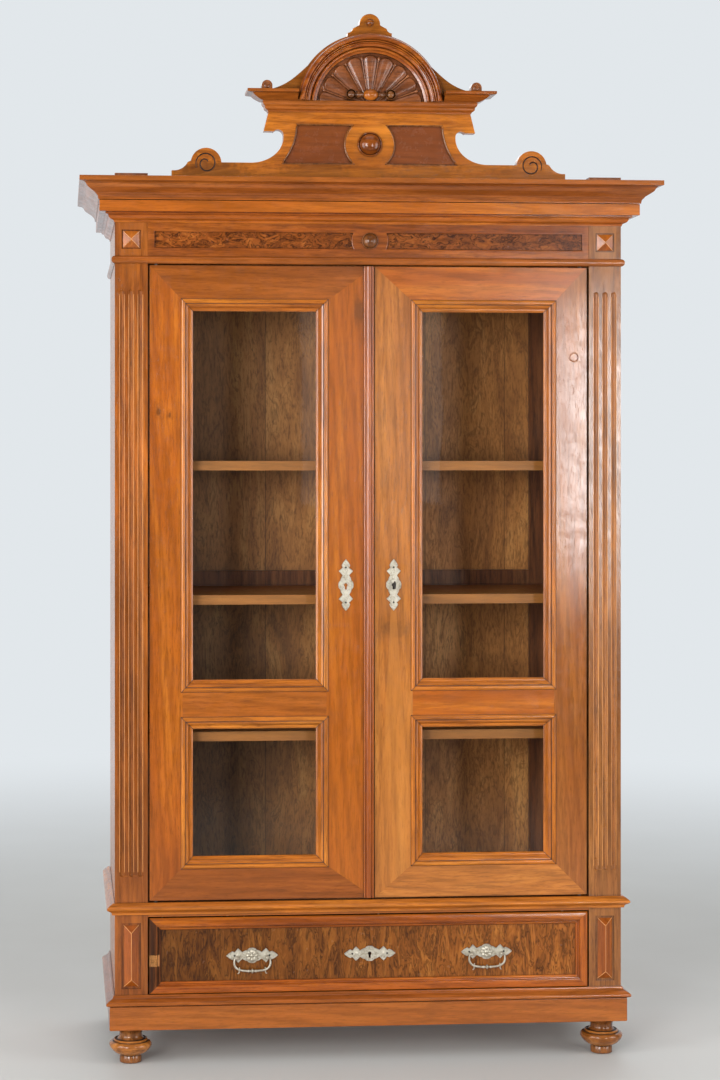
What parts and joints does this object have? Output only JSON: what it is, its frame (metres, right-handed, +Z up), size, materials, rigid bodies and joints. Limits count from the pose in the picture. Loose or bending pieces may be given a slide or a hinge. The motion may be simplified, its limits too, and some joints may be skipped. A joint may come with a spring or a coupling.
{
  "type": "display cabinet",
  "caption": "Tall walnut display cabinet with glazed hinged doors, inner shelves, a base drawer with drop handles, fluted posts, a mitred cornice and a carved crest with a shell.",
  "frame": {"origin": "on the floor, under the middle of the whole cabinet", "axes": "+X to the right as seen from the front, +Y to the back, +Z up"},
  "size_m": [1.252, 0.521, 2.259],
  "materials": {
    "walnut": "polished",
    "burr_walnut": "polished",
    "oak": "satin",
    "glass": "clear",
    "nickel_silver": "worn",
    "iron": "dark"
  },
  "bodies": {
    "cabinet": {"foot_front_left": "walnut", "foot_front_right": "walnut", "foot_rear_left": "walnut", "foot_rear_right": "walnut", "plinth_frame": "walnut", "base_moulding": "walnut", "base_floor": "oak", "waist_board": "oak", "waist_moulding": "walnut", "post_left": "walnut", "post_right": "walnut", "side_left": "walnut", "side_right": "walnut", "shelf_lower": "oak", "shelf_middle": "oak", "shelf_upper": "oak", "back_panel": "oak", "back_frame": "oak", "top_board": "oak", "frieze_board": "walnut", "frieze_burr": "burr_walnut", "frieze_boss": "walnut", "neck_moulding": "walnut", "cornice_front": "walnut", "cornice_left": "walnut", "cornice_right": "walnut", "crest_board": "walnut", "crest_panel": "burr_walnut", "crest_boss": "walnut", "crest_cornice": "walnut", "crest_arch": "walnut", "crest_shell": "walnut", "door_left_lower_pivot": "iron", "door_left_upper_pivot": "iron", "door_right_lower_pivot": "iron", "door_right_upper_pivot": "iron"},
    "door_left": {"door_left_frame": "walnut", "door_left_upper_glass": "glass", "door_left_lower_glass": "glass", "door_left_escutcheon": "nickel_silver", "door_strip": "walnut"},
    "door_right": {"door_right_frame": "walnut", "door_right_upper_glass": "glass", "door_right_lower_glass": "glass", "door_right_escutcheon": "nickel_silver", "door_lock": "iron"},
    "lock_bolt": {"door_lock_bolt": "nickel_silver"},
    "key": {"door_key": "iron"},
    "drawer": {"drawer_front": "burr_walnut", "drawer_moulding": "walnut", "drawer_side_left": "oak", "drawer_side_right": "oak", "drawer_back": "oak", "drawer_bottom": "oak", "drawer_escutcheon": "nickel_silver", "drawer_lock": "iron", "handle_left_plate": "nickel_silver", "handle_right_plate": "nickel_silver"},
    "bail_left": {"handle_left_bail": "nickel_silver"},
    "bail_right": {"handle_right_bail": "nickel_silver"}
  },
  "joints": [
    {"name": "door_left_hinge", "type": "hinge", "parent": "cabinet", "child": "door_left", "pos_m": [-0.4615, -0.1715, 0.351], "axis": [0, 0, -1], "range_deg": [0, 110]},
    {"name": "door_right_hinge", "type": "hinge", "parent": "cabinet", "child": "door_right", "pos_m": [0.4615, -0.1715, 0.351], "axis": [0, 0, 1], "range_deg": [0, 110]},
    {"name": "drawer_slide", "type": "slide", "parent": "cabinet", "child": "drawer", "axis": [0, -1, 0], "range_m": [0, 0.28]},
    {"name": "key_turn", "type": "hinge", "parent": "door_right", "child": "key", "pos_m": [0.052, -0.1795, 1.026], "axis": [0, 1, 0], "range_deg": [-15, 200]},
    {"name": "bolt_slide", "type": "slide", "parent": "door_right", "child": "lock_bolt", "axis": [-1, 0, 0], "range_m": [0, 0.01]},
    {"name": "bail_left_swing", "type": "hinge", "parent": "drawer", "child": "bail_left", "pos_m": [-0.255, -0.1873, 0.2263], "axis": [-1, 0, 0], "range_deg": [0, 85]},
    {"name": "bail_right_swing", "type": "hinge", "parent": "drawer", "child": "bail_right", "pos_m": [0.255, -0.1873, 0.2263], "axis": [-1, 0, 0], "range_deg": [0, 85]}
  ],
  "couplings": [
    {"joint": "key_turn", "follows": "bolt_slide", "rad_per_m": 314.15}
  ]
}
